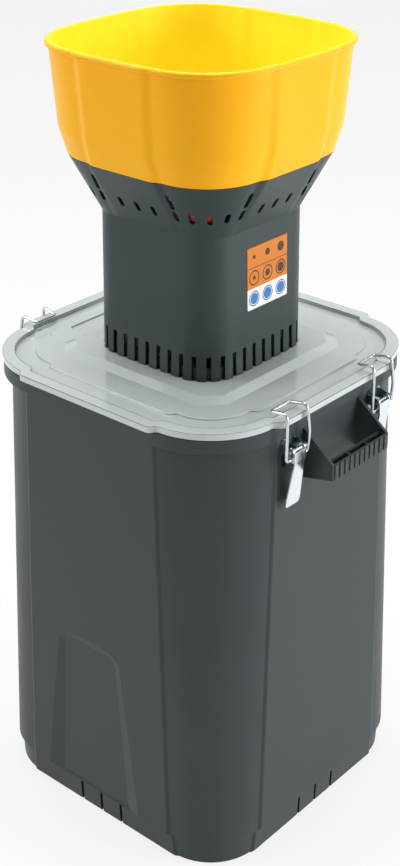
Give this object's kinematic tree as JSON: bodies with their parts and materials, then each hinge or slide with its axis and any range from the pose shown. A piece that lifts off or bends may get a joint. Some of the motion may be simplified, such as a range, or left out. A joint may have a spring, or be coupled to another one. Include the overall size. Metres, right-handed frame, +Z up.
{
  "type": "electric grain mill",
  "caption": "Electric grain mill: square bin with carry handles, lid clamped by wire-bail latches, vented motor column and yellow hopper with feed gate.",
  "frame": {"origin": "centre of the bin's base, on the floor", "axes": "+Z up, +X towards a carry handle with two latches, +Y towards the rear face with the switch"},
  "size_m": [0.486, 0.415, 0.9723],
  "materials": {
    "dark_polypropylene": "moulded, fine grain, dark green grey",
    "bin_polypropylene": "moulded, fine grain, dark grey",
    "yellow_plastic": "moulded, satin yellow",
    "orange_plastic": "moulded, orange red",
    "black_plastic": "moulded, black",
    "lid_enamel": "pressed steel sheet, light grey gloss enamel",
    "zinc_steel": "bright zinc plated",
    "steel": "machined steel",
    "cast_aluminium": "die cast",
    "lamination_steel": "stacked laminations, varnished",
    "copper_winding": "varnished copper wire",
    "commutator_copper": "turned copper bars",
    "carbon": "pressed carbon",
    "gasket_rubber": "soft extruded seal",
    "label_film": "printed film"
  },
  "bodies": {
    "mill": {"bin": "bin_polypropylene", "lid": "lid_enamel", "lid_gasket": "gasket_rubber", "housing": "dark_polypropylene", "base_ring": "dark_polypropylene", "base_screws": "zinc_steel", "hopper": "yellow_plastic", "hopper_screws": "zinc_steel", "hopper_guard": "zinc_steel", "gate_guide": "zinc_steel", "grain_duct": "orange_plastic", "motor_flange": "cast_aluminium", "lower_bearing": "steel", "upper_bearing": "steel", "shaft_seal": "gasket_rubber", "motor_can": "steel", "bracket_screws": "zinc_steel", "upper_bracket": "cast_aluminium", "stator_core": "lamination_steel", "field_coils": "copper_winding", "brush_holders": "black_plastic", "carbon_brushes": "carbon", "chamber_top": "steel", "flange_bolts": "zinc_steel", "sieve": "steel", "chamber_base": "steel", "chamber_studs": "zinc_steel", "wing_nuts": "zinc_steel", "switch_body": "black_plastic", "cable_gland": "black_plastic", "label": "label_film", "latch_brackets": "zinc_steel", "latch_pins": "zinc_steel", "latch_rivets": "zinc_steel"},
    "rotor": {"rotor_shaft": "steel", "rotor_core": "lamination_steel", "commutator": "commutator_copper", "cooling_fan": "black_plastic", "upper_blade": "steel", "lower_blade": "steel", "blade_spacers": "steel", "shaft_nut": "zinc_steel"},
    "gate": {"feed_gate": "zinc_steel", "gate_knob": "black_plastic"},
    "rocker": {"switch_rocker": "black_plastic"},
    "lever_right_front": {"lever_right_front": "zinc_steel"},
    "bail_right_front": {"bail_right_front": "zinc_steel"},
    "lever_right_rear": {"lever_right_rear": "zinc_steel"},
    "bail_right_rear": {"bail_right_rear": "zinc_steel"},
    "lever_left_front": {"lever_left_front": "zinc_steel"},
    "bail_left_front": {"bail_left_front": "zinc_steel"},
    "lever_left_rear": {"lever_left_rear": "zinc_steel"},
    "bail_left_rear": {"bail_left_rear": "zinc_steel"}
  },
  "joints": [
    {"name": "rotor_spin", "type": "hinge", "parent": "mill", "child": "rotor", "pos_m": [0, 0, 0.65], "axis": [0, 0, 1], "continuous": true},
    {"name": "gate_slide", "type": "slide", "parent": "mill", "child": "gate", "axis": [-1, 0, 0], "range_m": [0, 0.045]},
    {"name": "switch_rock", "type": "hinge", "parent": "mill", "child": "rocker", "pos_m": [0, 0.09239, 0.69044], "axis": [-1, 0, 0], "range_deg": [0, 14]},
    {"name": "lever_right_front_swing", "type": "hinge", "parent": "mill", "child": "lever_right_front", "pos_m": [0.212, -0.082, 0.553], "axis": [0, -1, 0], "range_deg": [0, 150]},
    {"name": "bail_right_front_swing", "type": "hinge", "parent": "lever_right_front", "child": "bail_right_front", "pos_m": [0.212, -0.082, 0.544], "axis": [0, -1, 0], "range_deg": [-171, 0]},
    {"name": "lever_right_rear_swing", "type": "hinge", "parent": "mill", "child": "lever_right_rear", "pos_m": [0.212, 0.082, 0.553], "axis": [0, -1, 0], "range_deg": [0, 150]},
    {"name": "bail_right_rear_swing", "type": "hinge", "parent": "lever_right_rear", "child": "bail_right_rear", "pos_m": [0.212, 0.082, 0.544], "axis": [0, -1, 0], "range_deg": [-171, 0]},
    {"name": "lever_left_front_swing", "type": "hinge", "parent": "mill", "child": "lever_left_front", "pos_m": [-0.212, -0.082, 0.553], "axis": [0, 1, 0], "range_deg": [0, 150]},
    {"name": "bail_left_front_swing", "type": "hinge", "parent": "lever_left_front", "child": "bail_left_front", "pos_m": [-0.212, -0.082, 0.544], "axis": [0, 1, 0], "range_deg": [-171, 0]},
    {"name": "lever_left_rear_swing", "type": "hinge", "parent": "mill", "child": "lever_left_rear", "pos_m": [-0.212, 0.082, 0.553], "axis": [0, 1, 0], "range_deg": [0, 150]},
    {"name": "bail_left_rear_swing", "type": "hinge", "parent": "lever_left_rear", "child": "bail_left_rear", "pos_m": [-0.212, 0.082, 0.544], "axis": [0, 1, 0], "range_deg": [-171, 0]}
  ],
  "couplings": [
    {"joint": "bail_right_front_swing", "follows": "lever_right_front_swing", "ratio": -1.137},
    {"joint": "bail_right_rear_swing", "follows": "lever_right_rear_swing", "ratio": -1.137},
    {"joint": "bail_left_front_swing", "follows": "lever_left_front_swing", "ratio": -1.137},
    {"joint": "bail_left_rear_swing", "follows": "lever_left_rear_swing", "ratio": -1.137}
  ]
}
